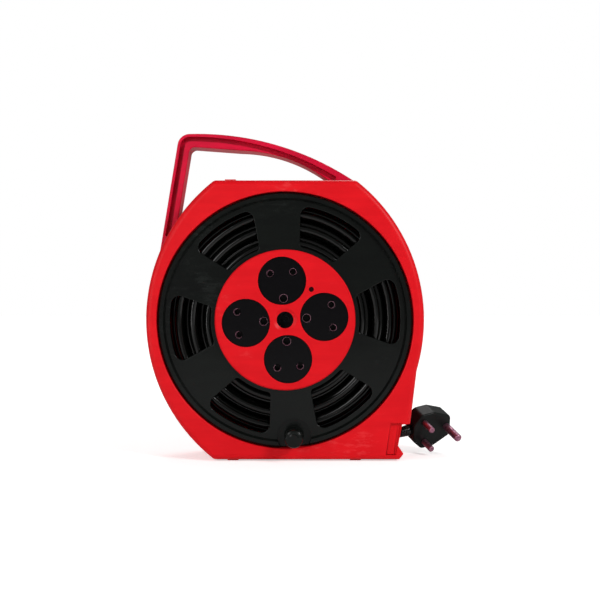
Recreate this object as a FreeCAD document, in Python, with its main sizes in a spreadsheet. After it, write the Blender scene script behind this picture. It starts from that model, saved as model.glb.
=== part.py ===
"""Cassette extension reel: a drum with four round-pin sockets turns in a split casing with a carrying handle.

Frame: the casing's front faces -Y, +X is to the right, +Z is up, and z = 0 is where the feet stand.
The origin is under the middle of the whole reel, knob included. Every piece is drawn about the point where
the drum axis meets the casing's middle plane, and to_axis carries it from there to its place. Depths are
given as "front", the distance in front of that middle plane, so that front = -y.
"""

import FreeCAD, Part
import math
import os
import Sketcher
from FreeCAD import Placement, Rotation, Vector

doc = FreeCAD.newDocument("cassette_reel")
sheet = doc.addObject("Spreadsheet::Sheet", "sheet")
exported = []

DIMENSIONS = {
    # casing
    "axis_height": 156.0,
    "middle_y": 11.0,
    "side_radius": 196.0,
    "side_shift": 42.0,
    "half_height": 154.5,
    "half_depth": 45.0,
    "wall": 3.0,
    "edge_rounding": 6.5,
    "corner_rounding": 7.0,
    "opening_radius": 141.8,
    "collar_wall": 2.5,
    "collar_back": 28.0,
    "foot_height": 1.5,
    "foot_width": 12.0,
    "boss_radius": 5.5,
    # drum
    "drum_angle": 4.4,
    "flange_radius": 140.3,
    "flange_front": 40.0,
    "sheet_thickness": 3.0,
    "lip_inner": 132.5,
    "lip_height": 3.5,
    "window_inner": 82.5,
    "window_outer": 127.6,
    "window_inner_half": 20.4,
    "window_outer_half": 38.9,
    "dish_radius": 19.0,
    "dish_depth": 4.0,
    "core_radius": 82.0,
    "core_back": 36.5,
    "rear_flange_radius": 138.0,
    "hub_outer": 12.5,
    "hub_collar": 19.0,
    "hub_bore": 8.0,
    "hub_mouth": 9.3,
    "axle_radius": 5.0,
    "axle_front": 20.0,
    "running_gap": 0.05,
    # socket plate and its sockets
    "plate_radius": 77.7,
    "plate_front": 44.0,
    "countersink_radius": 13.0,
    "socket_radius": 26.7,
    "socket_back_radius": 28.0,
    "socket_offset": 43.4,
    "socket_face": 43.4,
    "socket_back": 31.0,
    "pin_across": 12.7,
    "pin_out": 9.1,
    "earth_in": 19.5,
    "live_hole": 4.0,
    "earth_hole": 4.8,
    "live_bore": 3.58,
    "earth_bore": 4.4,
    "sleeve_wall": 1.0,
    "sleeve_front": 34.5,
    "busbar_back": 13.0,
    "busbar_thickness": 2.0,
    "button_place": 31.5,
    "button_radius": 2.5,
    # winding knob
    "knob_offset": 128.5,
    "knob_radius": 10.0,
    "knob_front": 68.0,
    "knob_pin_radius": 3.0,
    # cable
    "cable_radius": 4.3,
    "coil_radius": 114.6,
    "fifth_layer_radius": 122.6,
    "fifth_layer_back": -1.0,
    "top_layer_radius": 130.6,
    "top_layer_back": 7.0,
    "coil_front": 33.2,
    # handle
    "handle_depth": 28.0,
    "handle_lean": 9.3,
    "handle_corner_x": 108.6,
    "handle_corner_z": 196.5,
    "handle_corner_radius": 14.0,
    "grip_radius": 320.0,
    "groove_depth": 9.0,
    # plug
    "plug_face": 11.0,
    "plug_split": 3.0,
    "plug_back": 15.0,
    "live_pin_radius": 3.525,
    "live_pin_length": 18.6,
    "earth_pin_radius": 4.35,
    "earth_pin_length": 28.6,
    "pin_root": 0.6,
    "live_stem_radius": 2.8,
    "earth_stem_radius": 3.4,
}


class Size:
    """A length together with the expression that gives it, so that a sketch is drawn and bound in one go."""

    def __init__(self, value, text):
        self.value = float(value)
        self.text = text

    def __add__(self, other):
        other = as_size(other)
        return Size(self.value + other.value, f"({self.text} + {other.text})")

    def __sub__(self, other):
        other = as_size(other)
        return Size(self.value - other.value, f"({self.text} - {other.text})")

    def __rsub__(self, other):
        return as_size(other) - self

    def __mul__(self, other):
        other = as_size(other)
        return Size(self.value * other.value, f"({self.text} * {other.text})")

    def __truediv__(self, other):
        other = as_size(other)
        return Size(self.value / other.value, f"({self.text} / {other.text})")

    def __neg__(self):
        return Size(-self.value, f"(-1 * {self.text})")

    __radd__ = __add__
    __rmul__ = __mul__


def as_size(number):
    """A plain number as a Size; a Size stays as it is."""
    if isinstance(number, Size):
        return number
    return Size(number, f"({number})" if number < 0 else f"{number}")


def square_root(size):
    return Size(math.sqrt(size.value), f"sqrt({size.text})")


def leg_of(hypotenuse, other):
    """The third side of a right triangle."""
    return square_root(hypotenuse * hypotenuse - other * other)


def cosine(size):
    return Size(math.cos(math.radians(size.value)), f"cos({size.text} * 1 deg)")


def sine(size):
    return Size(math.sin(math.radians(size.value)), f"sin({size.text} * 1 deg)")


def fill_sheet():
    """Write every driving dimension into the spreadsheet and return it as a Size under its alias."""
    sizes = {}
    for row, (alias, value) in enumerate(DIMENSIONS.items(), start=1):
        sheet.set(f"A{row}", alias)
        sheet.set(f"B{row}", str(value))
        sheet.setAlias(f"B{row}", alias)
        sizes[alias] = Size(value, f"sheet.{alias}")
    doc.recompute()
    return sizes


D = fill_sheet()


# ---------------------------------------------------------------- sketches


def bind(sketch, kind, places, size):
    """Add one driving constraint and bind it to its expression."""
    size = as_size(size)
    index = sketch.addConstraint(Sketcher.Constraint(kind, *places, size.value))
    if "sheet." in size.text:
        sketch.setExpression(f"Constraints[{index}]", size.text)


def pin_point(sketch, element, end, x, z):
    """Hold one point of a sketch at its distances from the origin."""
    bind(sketch, "DistanceX", (-1, 1, element, end), x)
    bind(sketch, "DistanceY", (-1, 1, element, end), z)


def circle(sketch, x, z, radius):
    """Draw a circle held by its centre and radius."""
    x, z, radius = as_size(x), as_size(z), as_size(radius)
    ring = Part.Circle(Vector(x.value, z.value, 0), Vector(0, 0, 1), radius.value)
    element = sketch.addGeometry(ring, False)
    bind(sketch, "Radius", (element,), radius)
    pin_point(sketch, element, 3, x, z)


def arc_between(start, end, radius):
    """The minor arc from start to end: counterclockwise for a positive radius, else clockwise."""
    chord = end - start
    reach = math.sqrt(radius * radius - chord.Length ** 2 / 4)
    left = Vector(-chord.y, chord.x, 0).normalize()
    centre = (start + end) / 2 + left * math.copysign(reach, radius)
    first, last = (start, end) if radius > 0 else (end, start)
    angles = [math.atan2(point.y - centre.y, point.x - centre.x) for point in (first, last)]
    return Part.ArcOfCircle(Part.Circle(centre, Vector(0, 0, 1), abs(radius)), angles[0], angles[1])


def outline(sketch, corners):
    """Draw a closed outline of (x, z) corners; (x, z, radius) starts an arc that runs to the next corner."""
    corners = [[as_size(number) for number in corner] for corner in corners]
    points = [Vector(corner[0].value, corner[1].value, 0) for corner in corners]
    ends = []
    for index, corner in enumerate(corners):
        start, end = points[index], points[(index + 1) % len(points)]
        if len(corner) == 3:
            element = sketch.addGeometry(arc_between(start, end, corner[2].value), False)
            radius = corner[2] if corner[2].value > 0 else -corner[2]
            bind(sketch, "Radius", (element,), radius)
            ends.append((element, 1, 2) if corner[2].value > 0 else (element, 2, 1))
        else:
            element = sketch.addGeometry(Part.LineSegment(start, end), False)
            ends.append((element, 1, 2))
    for index, (element, begin, _) in enumerate(ends):
        before = ends[index - 1]
        sketch.addConstraint(Sketcher.Constraint("Coincident", before[0], before[2], element, begin))
        pin_point(sketch, element, begin, corners[index][0], corners[index][1])


def rectangle(sketch, left, bottom, right, top):
    outline(sketch, [(left, bottom), (right, bottom), (right, top), (left, top)])


# ---------------------------------------------------------------- bodies


def new_body(name, export=True):
    body = doc.addObject("PartDesign::Body", name)
    body.Label = name
    if export:
        exported.append(body)
    return body


def new_sketch(body, role, offset=None):
    """A sketch on one of the body's own planes; offset moves it along the plane's normal."""
    sketch = body.newObject("Sketcher::SketchObject", body.Name + "_sketch")
    plane = [item for item in body.Origin.OriginFeatures if item.Role == role][0]
    sketch.AttachmentSupport = (plane, [""])
    sketch.MapMode = "FlatFace"
    if offset is not None:
        offset = as_size(offset)
        sketch.AttachmentOffset = Placement(Vector(0, 0, offset.value), Rotation())
        if "sheet." in offset.text:
            sketch.setExpression("AttachmentOffset.Base.z", offset.text)
    return sketch


def set_length(feature, length):
    length = as_size(length)
    feature.Length = length.value
    if "sheet." in length.text:
        feature.setExpression("Length", length.text)


def layer(body, back, front, draw):
    """Add a flat layer between two front distances; draw puts its outline in a sketch."""
    back, front = as_size(back), as_size(front)
    sketch = new_sketch(body, "XZ_Plane", back)
    draw(sketch)
    pad = body.newObject("PartDesign::Pad", body.Name + "_pad")
    pad.Profile = sketch
    set_length(pad, front - back)
    doc.recompute()
    return pad


def cut(body, back, front, draw):
    """Cut a flat layer between two front distances, starting at the front one."""
    back, front = as_size(back), as_size(front)
    before = body.Shape.Volume
    sketch = new_sketch(body, "XZ_Plane", front)
    draw(sketch)
    pocket = body.newObject("PartDesign::Pocket", body.Name + "_pocket")
    pocket.Profile = sketch
    set_length(pocket, front - back)
    doc.recompute()
    if body.Shape.Volume >= before:
        states = [(item.Name, item.State) for item in body.Group if "Invalid" in item.State]
        raise RuntimeError(f"a cut of {body.Name} at {front.value} removed nothing: {states}")
    return pocket


def turned(name, profile):
    """A body turned about the Y axis from a closed profile of (radius, front) corners."""
    body = new_body(name)
    sketch = new_sketch(body, "XY_Plane")
    outline(sketch, [(as_size(radius), -as_size(front)) for radius, front in profile])
    revolution = body.newObject("PartDesign::Revolution", name + "_revolution")
    revolution.Profile = sketch
    revolution.ReferenceAxis = (sketch, ["V_Axis"])
    revolution.Angle = 360
    doc.recompute()
    return body


def around(body, features, count):
    """Repeat features evenly about the body's Y axis."""
    pattern = body.newObject("PartDesign::PolarPattern", body.Name + "_pattern")
    axis = [item for item in body.Origin.OriginFeatures if item.Role == "Y_Axis"][0]
    pattern.Originals = features
    pattern.Axis = (axis, [""])
    pattern.Angle = 360
    pattern.Occurrences = count
    body.Tip = pattern
    doc.recompute()


def round_edges(body, kind, size, choose):
    """Fillet or chamfer the edges that choose picks."""
    names = [f"Edge{number}" for number, edge in enumerate(body.Shape.Edges, start=1) if choose(edge)]
    if not names:
        raise RuntimeError(f"no edge of {body.Name} to round")
    size = as_size(size)
    base = body.Tip
    feature = body.newObject(f"PartDesign::{kind}", f"{body.Name}_{kind}")
    feature.Base = (base, names)
    field = "Radius" if kind == "Fillet" else "Size"
    setattr(feature, field, size.value)
    if "sheet." in size.text:
        feature.setExpression(field, size.text)
    doc.recompute()
    if "Invalid" in feature.State or not body.Shape.isValid():
        raise RuntimeError(f"{feature.Name}: {feature.getStatusString()}")


def runs_along_y(edge):
    """Whether an edge is a straight line parallel to Y."""
    if edge.Curve.TypeId != "Part::GeomLine":
        return False
    across = edge.Vertexes[-1].Point - edge.Vertexes[0].Point
    return abs(across.x) < 1e-6 and abs(across.z) < 1e-6


def in_plane(edge, front):
    return edge.BoundBox.YMax < -front + 1e-5 and edge.BoundBox.YMin > -front - 1e-5


def ring_edge(edge, radius):
    return edge.Curve.TypeId == "Part::GeomCircle" and abs(edge.Curve.Radius - radius) < 1e-4


def to_axis(item, turn=0.0, inner=None):
    """Carry a piece to the drum axis, turned about it by an angle; inner is its own placement before that."""
    turn = as_size(turn)
    base = Vector(0, D["middle_y"].value, D["axis_height"].value)
    placement = Placement(base, Rotation(Vector(0, -1, 0), turn.value))
    if inner is not None:
        item.Placement = placement.multiply(inner)
        return
    item.Placement = placement
    item.setExpression("Placement.Base.y", D["middle_y"].text)
    item.setExpression("Placement.Base.z", D["axis_height"].text)
    if "sheet." in turn.text:
        item.setExpression("Placement.Rotation.Angle", turn.text)


def rod(name, radius, length, base, direction):
    """A cylinder from base along direction, bound to its radius and length."""
    piece = doc.addObject("Part::Cylinder", name)
    for field, size in (("Radius", as_size(radius)), ("Height", as_size(length))):
        setattr(piece, field, size.value)
        if "sheet." in size.text:
            piece.setExpression(field, size.text)
    piece.Placement = Placement(base, Rotation(Vector(0, 0, 1), direction))
    return piece


def join(kind, name, pieces):
    piece = doc.addObject(kind, name)
    if kind == "Part::Cut":
        piece.Base, piece.Tool = pieces
    elif kind == "Part::MultiFuse":
        piece.Shapes = pieces
    else:
        piece.Links = pieces
    piece.Label = name
    return piece


def screws(name, places, direction, head, shank, length, turn=0.0):
    """Screws with a cross slot: head and shank are radii, each (x, front, z) the middle of a head's top."""
    direction = Vector(*direction).normalize()
    height = head * 0.7
    made = []
    for number, place in enumerate(places, start=1):
        top = Vector(place[0], -place[1], place[2])
        label = f"{name}_{number}"
        crown = rod(f"{label}_head", head, height, top, direction)
        stem = rod(f"{label}_shank", shank, length, top, direction)
        whole = join("Part::MultiFuse", f"{label}_whole", [crown, stem])
        slot = doc.addObject("Part::Box", f"{label}_slot")
        slot.Length, slot.Width, slot.Height = head * 1.3, head * 0.3, height * 0.5
        corner = Placement(Vector(-slot.Length.Value / 2, -slot.Width.Value / 2, -0.01), Rotation())
        slot.Placement = Placement(top, Rotation(Vector(0, 0, 1), direction)).multiply(corner)
        cross = doc.addObject("Part::Box", f"{label}_cross")
        cross.Length, cross.Width, cross.Height = slot.Width, slot.Length, slot.Height
        corner = Placement(Vector(-cross.Length.Value / 2, -cross.Width.Value / 2, -0.01), Rotation())
        cross.Placement = Placement(top, Rotation(Vector(0, 0, 1), direction)).multiply(corner)
        recess = join("Part::MultiFuse", f"{label}_recess", [slot, cross])
        made.append(join("Part::Cut", label, [whole, recess]))
    group = join("Part::Compound", name, made)
    doc.recompute()
    to_axis(group, turn)
    exported.append(group)


def tube(name, points, radius, turn=0.0):
    """A round cable along straight runs joined by tangent arcs, each as large as its two runs allow."""
    edges = []
    begin = points[0]
    for before, corner, after in zip(points, points[1:], points[2:]):
        back, onward = before - corner, after - corner
        half_turn = (math.pi - back.getAngle(onward)) / 2
        setback = 0.45 * min(back.Length, onward.Length)
        bend = setback / math.tan(half_turn)
        print(f"{name}: bend of {bend:.1f} mm, {bend / radius / 2:.1f} diameters")
        back.normalize()
        onward.normalize()
        enter, leave = corner + back * setback, corner + onward * setback
        inward = (back + onward).normalize()
        middle = corner + inward * (bend / math.cos(half_turn) - bend)
        edges.append(Part.LineSegment(begin, enter).toShape())
        edges.append(Part.Arc(enter, middle, leave).toShape())
        begin = leave
    edges.append(Part.LineSegment(begin, points[-1]).toShape())
    path = Part.Wire(edges)
    rim = Part.Wire([Part.makeCircle(radius, points[0], points[1] - points[0])])
    solid = path.makePipeShell([rim], True, False)
    share = solid.Volume / (math.pi * radius ** 2 * path.Length)
    print(f"{name}: {path.Length:.1f} mm long, volume is {share:.4f} of section times length")
    piece = doc.addObject("Part::Feature", name)
    piece.Shape = solid
    piece.Label = name
    to_axis(piece, turn)
    exported.append(piece)


# ---------------------------------------------------------------- casing

NOTCH = [(138.6, -114.7), (129.0, -115.2), (124.5, -139.0), (130.5, -147.3), (125.8, -154.5)]
GUIDE_TOP_LEFT = (116.5, -113.8)
GUIDE_TOP_RIGHT = (128.9, -113.8)
GUIDE_BOTTOM_RIGHT = (122.4, -149.0)
GUIDE_BOTTOM_LEFT = (111.0, -149.0)
ARC_END_Z = -56.0
BOSS_PLACES = [(-72.0, 143.0), (72.0, 143.0), (-58.0, -147.0), (58.0, -147.0)]
FOOT_CENTRES = [-58.0, 78.0]
LUG_CENTRE = -61.0
MOUTH_Z = -133.5
MOUTH_RADIUS = 10.0
HANDLE_SCREW_Y = 8.0
HANDLE_SCREW_X = 66.0
HANDLE_SCREW_Z = 84.0


def casing_outline(sketch):
    """Two wide arcs for the sides, flat top and bottom, and a notch for the cable at the lower right."""
    flat = leg_of(D["side_radius"], D["half_height"]) - D["side_shift"]
    low = Size(ARC_END_Z, f"({ARC_END_Z})")
    side = leg_of(D["side_radius"], low) - D["side_shift"]
    notch = [(x, z) for x, z in NOTCH[:-1]] + [(NOTCH[-1][0], -D["half_height"])]
    corners = [(flat, D["half_height"]), (-flat, D["half_height"], D["side_radius"])]
    corners += [(-flat, -D["half_height"])] + notch[::-1] + [(side, low, D["side_radius"])]
    outline(sketch, corners)


def casing_hollow(sketch):
    """The casing outline moved inwards by the wall."""
    radius = D["side_radius"] - D["wall"]
    height = D["half_height"] - D["wall"]
    flat = leg_of(radius, height) - D["side_shift"]
    low = Size(ARC_END_Z, f"({ARC_END_Z})")
    side = leg_of(radius, low) - D["side_shift"]
    lower = [(120.6, -height), (121.3, -139.6), (125.6, -111.8), (135.2, -111.5)]
    corners = [(flat, height), (-flat, height, radius), (-flat, -height)]
    corners += lower + [(side, low, radius)]
    outline(sketch, corners)


def guide_outline(sketch):
    outline(sketch, [GUIDE_BOTTOM_LEFT, GUIDE_BOTTOM_RIGHT, GUIDE_TOP_RIGHT, GUIDE_TOP_LEFT])


def outer_corner(edge):
    """The long upright corners of the casing, apart from those of the cable notch."""
    place = edge.Vertexes[0].Point
    return runs_along_y(edge) and abs(place.z) > 154 and place.x < 120


def span(facing, near, far):
    """Back and front of a stretch that a half shell fills, near and far from the middle plane."""
    return (near, far) if facing > 0 else (-as_size(far), -as_size(near))


def casing_half(name, facing):
    """One half shell. facing is +1 for the front half and -1 for the rear one."""
    body = new_body(name)
    depth, wall = D["half_depth"], D["wall"]
    layer(body, *span(facing, 0, depth), casing_outline)
    round_edges(body, "Fillet", D["corner_rounding"], outer_corner)

    def outer_rim(edge):
        middle = edge.valueAt((edge.FirstParameter + edge.LastParameter) / 2)
        beside_notch = middle.x > 123 and middle.z < -114
        return in_plane(edge, facing * depth.value) and not beside_notch

    round_edges(body, "Fillet", D["edge_rounding"], outer_rim)
    cut(body, *span(facing, 0, depth - wall), casing_hollow)
    for x, z in BOSS_PLACES:
        layer(body, *span(facing, 0, depth - wall / 2), lambda s: circle(s, x, z, D["boss_radius"]))

    def feet(sketch):
        reach = D["half_height"] + D["foot_height"]
        for centre in FOOT_CENTRES:
            left, right = centre - D["foot_width"] / 2, centre + D["foot_width"] / 2
            rectangle(sketch, left, -reach, right, 1 - D["half_height"])
        left, right = LUG_CENTRE - D["foot_width"] / 2, LUG_CENTRE + D["foot_width"] / 2
        rectangle(sketch, left, D["half_height"] - 1, right, reach)

    layer(body, *span(facing, 18, 36), feet)
    return body


def front_casing():
    body = casing_half("front_casing", 1)
    depth, wall = D["half_depth"], D["wall"]

    def collar(sketch):
        circle(sketch, 0, 0, D["opening_radius"] + D["collar_wall"])
        circle(sketch, 0, 0, D["opening_radius"])

    layer(body, D["collar_back"], depth - wall / 2, collar)
    cut(body, D["collar_back"] - 10, depth + 1, lambda s: circle(s, 0, 0, D["opening_radius"]))
    round_edges(
        body, "Fillet", 1.2, lambda e: in_plane(e, depth.value) and ring_edge(e, D["opening_radius"].value)
    )
    cut(body, depth - wall, depth + 1, guide_outline)
    for x, z in BOSS_PLACES:
        cut(body, 0, 20, lambda s: circle(s, x, z, 1.7))
    cut_side_openings(body, 1)
    to_axis(body)


def rear_casing():
    body = casing_half("rear_casing", -1)
    depth, wall = D["half_depth"], D["wall"]
    for x, z in BOSS_PLACES:
        cut(body, *span(-1, 10, depth + 1), lambda s: circle(s, x, z, 4.6))
        cut(body, *span(-1, 0, 11), lambda s: circle(s, x, z, 2.0))
    cut(body, -depth, wall - depth, lambda s: circle(s, 0, 0, D["axle_radius"]))

    def shallow_ring(sketch):
        circle(sketch, 0, 0, 118)
        circle(sketch, 0, 0, 112)

    cut(body, -depth, 1.0 - depth, shallow_ring)
    for number in range(4):
        reach, half = 62, 6
        centre = Rotation(Vector(0, 0, 1), 45 + 90 * number).multVec(Vector(reach, 0, 0))
        layer(body, -depth - 1.5, 1.0 - depth, lambda s: circle(s, centre.x, centre.y, half))
    cut_side_openings(body, -1)
    to_axis(body)


def cut_side_openings(body, facing):
    """Half of the cable mouth in the notch wall and of the handle screws' holes, cut from each shell."""
    mouth = new_sketch(body, "YZ_Plane", 108.0)
    circle(mouth, 0, MOUTH_Z, MOUTH_RADIUS)
    pocket = body.newObject("PartDesign::Pocket", body.Name + "_mouth")
    pocket.Profile = mouth
    pocket.Reversed = True
    set_length(pocket, 30)
    doc.recompute()
    side = new_sketch(body, "YZ_Plane", -120.0)
    circle(side, -facing * HANDLE_SCREW_Y, HANDLE_SCREW_Z, 1.6)
    pocket = body.newObject("PartDesign::Pocket", body.Name + "_side_screw")
    pocket.Profile = side
    set_length(pocket, 30)
    top = new_sketch(body, "XY_Plane", 140.0)
    circle(top, HANDLE_SCREW_X, -facing * HANDLE_SCREW_Y, 1.6)
    pocket = body.newObject("PartDesign::Pocket", body.Name + "_top_screw")
    pocket.Profile = top
    pocket.Reversed = True
    set_length(pocket, 30)
    doc.recompute()


def outlet_guide():
    """A block with a rounded eye that leads the cable out between the shells."""
    body = new_body("outlet_guide")
    gap = 0.2
    reach = D["half_depth"] - D["wall"] - gap

    def block(sketch):
        outline(sketch, [(112.0, -148.5), (120.4, -148.5), (121.0, -139.7), (125.2, -113.0), (117.0, -113.0)])

    layer(body, -reach, reach, block)
    eye = new_sketch(body, "YZ_Plane", 105.0)
    circle(eye, -2.5, MOUTH_Z - 1.5, MOUTH_RADIUS)
    pocket = body.newObject("PartDesign::Pocket", "guide_eye")
    pocket.Profile = eye
    pocket.Reversed = True
    set_length(pocket, 30)
    doc.recompute()
    to_axis(body)


# ---------------------------------------------------------------- handle


def handle_path(inset, last_x, last_z, leg):
    """Corners of the handle's outer edge moved inwards: the grip's arc, the corner and the leaning leg."""
    lean_cos, lean_sin = cosine(D["handle_lean"]), sine(D["handle_lean"])
    radius = D["handle_corner_radius"] - inset
    across, height = D["handle_corner_x"], D["handle_corner_z"]
    top = (-across, height + radius, radius)
    bend_end = (-across - radius * lean_cos, height + radius * lean_sin)
    foot = (bend_end[0] - leg * lean_sin, bend_end[1] - leg * lean_cos)
    return [(last_x, last_z, D["grip_radius"] - inset), top, bend_end, foot]


def carry_handle():
    """A bar of I section that rises from the left side, turns and runs down to the right shoulder."""
    blank = new_body("handle_blank", export=False)
    half = D["handle_depth"] / 2

    def bar(sketch):
        corners = [(78.0, 140.0)] + handle_path(0, 78.0, 157.0, 122)
        corners += [(-146.5, 56.0), (-130.0, 56.0), (-125.3, 92.0), (-109.6, 188.5, -7.0), (-102.6, 195.4)]
        corners += [(-50.0, 191.5, -170.0), (58.0, 150.0), (58.0, 140.0)]
        outline(sketch, corners)

    layer(blank, -half, half, bar)
    round_edges(blank, "Fillet", 1.2, lambda e: in_plane(e, half.value) or in_plane(e, -half.value))

    def groove(sketch):
        outer_rib, groove_end = 3.2, 8.6
        outer = handle_path(outer_rib, 58.0, 161.5, 105)
        grip, top, bend_end, foot = handle_path(groove_end, 56.0, 156.4, 105)
        back = [foot, (*bend_end, -(D["handle_corner_radius"] - groove_end))]
        back += [(*top[:2], -(D["grip_radius"] - groove_end)), grip[:2]]
        outline(sketch, outer + back)

    cut(blank, half - D["groove_depth"], half, groove)
    cut(blank, -half, D["groove_depth"] - half, groove)
    for side in (-1, 1):
        hole = new_sketch(blank, "YZ_Plane", -128.0)
        circle(hole, side * HANDLE_SCREW_Y, HANDLE_SCREW_Z, 1.5)
        pocket = blank.newObject("PartDesign::Pocket", "handle_side_hole")
        pocket.Profile = hole
        set_length(pocket, 12)
        top = new_sketch(blank, "XY_Plane", 148.0)
        circle(top, HANDLE_SCREW_X, side * HANDLE_SCREW_Y, 1.5)
        pocket = blank.newObject("PartDesign::Pocket", "handle_top_hole")
        pocket.Profile = top
        pocket.Reversed = True
        set_length(pocket, 14)
    doc.recompute()
    room = new_body("casing_room", export=False)
    layer(room, -D["half_depth"], D["half_depth"], casing_outline)
    round_edges(room, "Fillet", D["corner_rounding"], outer_corner)
    handle = join("Part::Cut", "carry_handle", [blank, room])
    doc.recompute()
    to_axis(handle)
    exported.append(handle)
    side = [(-127.6, front, HANDLE_SCREW_Z) for front in (-HANDLE_SCREW_Y, HANDLE_SCREW_Y)]
    heads = (D["half_height"] - D["wall"]).value - 2.1
    top = [(HANDLE_SCREW_X, front, heads) for front in (-HANDLE_SCREW_Y, HANDLE_SCREW_Y)]
    screws("handle_side_screws", side, (-1, 0, 0), 3.0, 1.5, 12.0)
    screws("handle_top_screws", top, (0, 0, 1), 3.0, 1.5, 11.0)


# ---------------------------------------------------------------- drum

LEAD_FRONT = 5.4


def front_flange():
    front, thick, lip = D["flange_front"], D["sheet_thickness"], D["lip_height"]
    outer, inner = D["flange_radius"], D["lip_inner"]
    back = front - thick
    profile = [(74, back), (outer, back), (outer, front + lip - 1.5), (outer - 1.5, front + lip)]
    profile += [(inner + 2.2, front + lip), (inner, front), (74, front)]
    body = turned("front_flange", profile)
    floor = front - D["dish_depth"]
    layer(body, floor - 2.5, back + 0.5, lambda s: circle(s, 0, -D["knob_offset"], D["dish_radius"] + 2.5))

    def rim_ring(sketch):
        circle(sketch, 0, 0, 175)
        circle(sketch, 0, 0, outer)

    cut(body, floor - 3, front, rim_ring)
    cut(body, floor, front + lip + 1, lambda s: circle(s, 0, -D["knob_offset"], D["dish_radius"]))
    cut(body, floor - 3, front, lambda s: circle(s, 0, -D["knob_offset"], 2.0))

    def window(sketch):
        reach_out = leg_of(D["window_outer"], D["window_outer_half"])
        reach_in = leg_of(D["window_inner"], D["window_inner_half"])
        narrow, wide = D["window_inner_half"], D["window_outer_half"]
        corners = [(reach_in, -narrow), (reach_out, -wide, D["window_outer"])]
        corners += [(reach_out, wide), (reach_in, narrow, -D["window_inner"])]
        outline(sketch, corners)

    around(body, [cut(body, back - 1, front + 1, window)], 6)

    def far_from_axis(edge, radius):
        place = edge.Vertexes[0].Point
        return runs_along_y(edge) and abs(math.hypot(place.x, place.z) - radius.value) < 0.1

    round_edges(body, "Fillet", 9, lambda e: far_from_axis(e, D["window_outer"]))
    round_edges(body, "Fillet", 4, lambda e: far_from_axis(e, D["window_inner"]))
    round_edges(body, "Fillet", 0.8, lambda e: in_plane(e, front.value) and in_window_rim(e))
    to_axis(body, D["drum_angle"])


def in_window_rim(edge):
    middle = edge.valueAt((edge.FirstParameter + edge.LastParameter) / 2)
    return 80 < math.hypot(middle.x, middle.z) < 130 and not near_dish(middle)


def near_dish(place):
    return math.hypot(place.x, place.z + D["knob_offset"].value) < D["dish_radius"].value + 1


def drum_core():
    """The barrel that carries the cable, with its rear web, and the hub tube that stands on the web."""
    back, front = -D["core_back"], D["flange_front"] - D["sheet_thickness"]
    wall, hub = D["sheet_thickness"], D["hub_outer"]
    shoulder = D["axle_front"] - 0.3
    top = D["plate_front"] - D["sheet_thickness"]
    profile = [(hub, back), (D["core_radius"], back), (D["core_radius"], front)]
    profile += [(D["core_radius"] - wall, front), (D["core_radius"] - wall, back + wall), (hub, back + wall)]
    body = turned("drum_core", profile)
    hole = new_sketch(body, "YZ_Plane", -70.0)
    circle(hole, -LEAD_FRONT, 0, D["cable_radius"] + 0.2)
    pocket = body.newObject("PartDesign::Pocket", "core_cable_hole")
    pocket.Profile = hole
    set_length(pocket, 20)
    doc.recompute()
    around(body, [cut(body, back, back + wall, lambda s: circle(s, 0, 60, 2.0))], 4)
    to_axis(body, D["drum_angle"])
    profile = [(D["hub_bore"], back), (hub, back), (hub, back + wall), (D["hub_collar"], back + wall)]
    profile += [(D["hub_collar"], back + wall + 2), (hub, back + wall + 2), (hub, top), (D["hub_mouth"], top)]
    profile += [(D["hub_mouth"], shoulder), (D["hub_bore"], shoulder)]
    to_axis(turned("drum_hub", profile), D["drum_angle"])


def rear_flange():
    front = -D["core_back"]
    profile = [(9, front - D["sheet_thickness"]), (D["rear_flange_radius"], front - D["sheet_thickness"])]
    profile += [(D["rear_flange_radius"], front), (9, front)]
    body = turned("rear_flange", profile)
    around(body, [cut(body, front - D["sheet_thickness"], front, lambda s: circle(s, 0, 60, 2.0))], 4)
    to_axis(body, D["drum_angle"])
    top = (front - D["sheet_thickness"]).value - 1.9
    places = [(0, top, 60), (60, top, 0), (0, top, -60), (-60, top, 0)]
    screws("flange_screws", places, (0, -1, 0), 2.7, 2.0, 11.0, D["drum_angle"])


def hub_pieces():
    """Axle with its plate, bush, washer and the screw that holds the drum on."""
    radius, front = D["axle_radius"], D["axle_front"]
    back = -D["half_depth"]
    seat = back + D["wall"]
    profile = [(0, back), (radius, back), (radius, seat), (18, seat), (18, seat + 1.8), (radius, seat + 1.8)]
    profile += [(radius, front), (2.0, front), (2.0, front - 14), (0, front - 14)]
    to_axis(turned("axle", profile))
    inner = radius + D["running_gap"]
    back = -D["core_back"]
    shoulder = front - 0.3
    bush = [(inner, back), (D["hub_bore"], back), (D["hub_bore"], shoulder), (inner, shoulder)]
    to_axis(turned("axle_bush", bush), D["drum_angle"])
    washer = [(2.1, front), (8.6, front), (8.6, front + 1.2), (2.1, front + 1.2)]
    to_axis(turned("axle_washer", washer))
    screws("axle_screw", [(0, front.value + 4.0, 0)], (0, 1, 0), 4.0, 2.0, 16.0)


# ---------------------------------------------------------------- sockets


def socket_plate():
    front, thick = D["plate_front"], D["sheet_thickness"]
    back, edge = front - thick, D["plate_radius"]
    profile = [(D["hub_mouth"], back), (edge - 2.7, back), (edge - 2.7, back - 1), (edge, back - 1)]
    profile += [(edge, front - 1.2), (edge - 1.2, front), (D["countersink_radius"], front)]
    profile += [(D["hub_mouth"], front - 2)]
    body = turned("socket_plate", profile)
    hole = cut(body, back, front + 1, lambda s: circle(s, 0, D["socket_offset"], D["socket_radius"]))
    around(body, [hole], 4)
    place = D["button_place"]
    cut(body, back, front + 1, lambda s: circle(s, place, place, D["button_radius"] + 0.3))
    to_axis(body, D["drum_angle"])


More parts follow.
